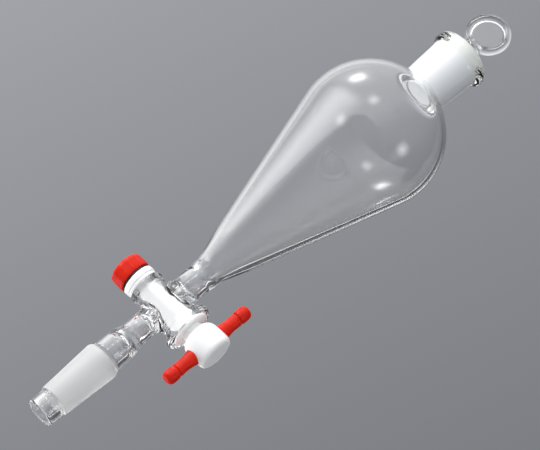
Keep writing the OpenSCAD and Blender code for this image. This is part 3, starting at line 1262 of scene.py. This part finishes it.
# %% [markdown]
# A plain matt floor well below the funnel, so that no shadow or contact line disturbs the glass.

# %% Floor
floor_maker = bmesh.new()
bmesh.ops.create_circle(floor_maker, cap_ends=True, segments=96, radius=6.0)
floor_mesh = bpy.data.meshes.new("studio_floor")
floor_maker.to_mesh(floor_mesh)
floor_maker.free()
floor = bpy.data.objects.new("studio_floor", floor_mesh)
floor.location = (0, 0, -0.55)
bpy.context.scene.collection.objects.link(floor)
floor_material, floor_tree = new_material("matt_painted_floor")
floor_shader = add_node(
    floor_tree, "ShaderNodeBsdfPrincipled", Base_Color=linear("B9BABC"), Roughness=0.9
)
add_node(floor_tree, "ShaderNodeOutputMaterial", {"Surface": floor_shader.outputs["BSDF"]})
floor_mesh.materials.append(floor_material)
print("floor at", round(floor.location.z, 2), "m")


# %% [markdown]
# Cloth in front of a studio lamp is darker at its edges. The fade is worked out across the lamp's
# own face, so that its mirror image in the glass has soft edges too. No lamp shows to the camera,
# and a fill lamp is hidden from mirrored and bent rays as well.

# %% Soft-edged boxes
def edge_fade(tree, value, fade):
    """Rises from 0 at both ends of a 0 to 1 range to 1 at this distance from them."""
    ends = [
        add_node(tree, "ShaderNodeMapRange", {"Value": value}, From_Max=fade),
        add_node(tree, "ShaderNodeMapRange", {"Value": value}, From_Min=1.0, From_Max=1.0 - fade),
    ]
    for end in ends:
        end.interpolation_type = "SMOOTHSTEP"
    product = add_node(tree, "ShaderNodeMath", operation="MULTIPLY")
    for i, end in enumerate(ends):
        tree.links.new(end.outputs["Result"], product.inputs[i])
    return product.outputs["Value"]


def soft_box(name, way, distance, size, radiance, fade=0.5, mirrored=True, aim=Vector((0, 0, 0.12))):
    data = bpy.data.lights.new(name, "AREA")
    data.shape = "RECTANGLE"
    data.size, data.size_y = size
    # A lamp that shines from one face with this power has unit radiance before its nodes
    data.energy = radiance * math.pi * size[0] * size[1]
    data.use_nodes = True
    tree = data.node_tree
    tree.nodes.clear()
    spot = add_node(tree, "ShaderNodeNewGeometry")
    both = add_node(tree, "ShaderNodeSeparateXYZ", {"Vector": spot.outputs["Parametric"]})
    product = add_node(tree, "ShaderNodeMath", operation="MULTIPLY")
    tree.links.new(edge_fade(tree, both.outputs["X"], fade), product.inputs[0])
    tree.links.new(edge_fade(tree, both.outputs["Y"], fade), product.inputs[1])
    glow = add_node(tree, "ShaderNodeEmission", {"Strength": product.outputs["Value"]})
    add_node(tree, "ShaderNodeOutputLight", {"Surface": glow.outputs["Emission"]})
    light = bpy.data.objects.new(name, data)
    light.location = aim + way * distance
    light.rotation_mode = "QUATERNION"
    light.rotation_quaternion = way.to_track_quat("Z", "Y")
    light.visible_camera = False
    if not mirrored:
        light.visible_glossy = False
        light.visible_transmission = False
    bpy.context.scene.collection.objects.link(light)
    return light


# %% [markdown]
# Two lamps high on the left and a wide one draw the bright side of the bulb, two nearer ones its
# small highlights, and a strip behind it the other outline. Three fill lamps lift white plastic and
# ground glass. The plain Standard view keeps whites clean, and there are enough bounces for a ray
# to pass every wall of the glass.

# %% Lights
bulb_aim = Vector((0, 0, 0.13))
soft_box("high_left_box", seen(-0.873, 0.47, -0.134), 1.0, (0.42, 0.42), 9, aim=bulb_aim)
soft_box("high_left_halo", seen(-0.873, 0.47, -0.134), 1.1, (1.0, 0.8), 1.6, aim=bulb_aim)
veil_way = (turn @ (across_dir * -0.97 + toward_dir * 0.2) + Vector((0, 0, -0.05))).normalized()
veil_box = soft_box("veil_box", veil_way, 1.0, (1.9, 0.66), 7.0, aim=bulb_aim)
# It is only mirrored: seen through the glass it would fill the bulb with plain white
veil_box.visible_transmission = False
soft_box("near_left_box", seen(-0.558, 0.562, 0.61), 1.0, (0.45, 0.45), 3.6, aim=bulb_aim)
soft_box("near_right_box", seen(0.754, 0.323, 0.573), 1.0, (0.5, 0.5), 4.4, aim=bulb_aim)
soft_box("edge_strip", seen(0.36, 0.0, -0.93), 1.0, (0.08, 0.7), 3, aim=bulb_aim)
soft_box("fill_box", seen(0.0, 0.2, 0.97), 1.4, (1.2, 1.2), 1.5, mirrored=False)
soft_box("under_fill", seen(-0.15, -0.95, -0.15), 0.5, (0.5, 0.5), 9, mirrored=False)
soft_box("right_fill", seen(0.85, 0.1, 0.45), 1.3, (0.9, 0.9), 2.0, mirrored=False)
bpy.context.scene.view_settings.view_transform = "Standard"
bpy.context.scene.cycles.transmission_bounces = 20
bpy.context.scene.cycles.max_bounces = 24
bpy.context.scene.cycles.transparent_max_bounces = 24
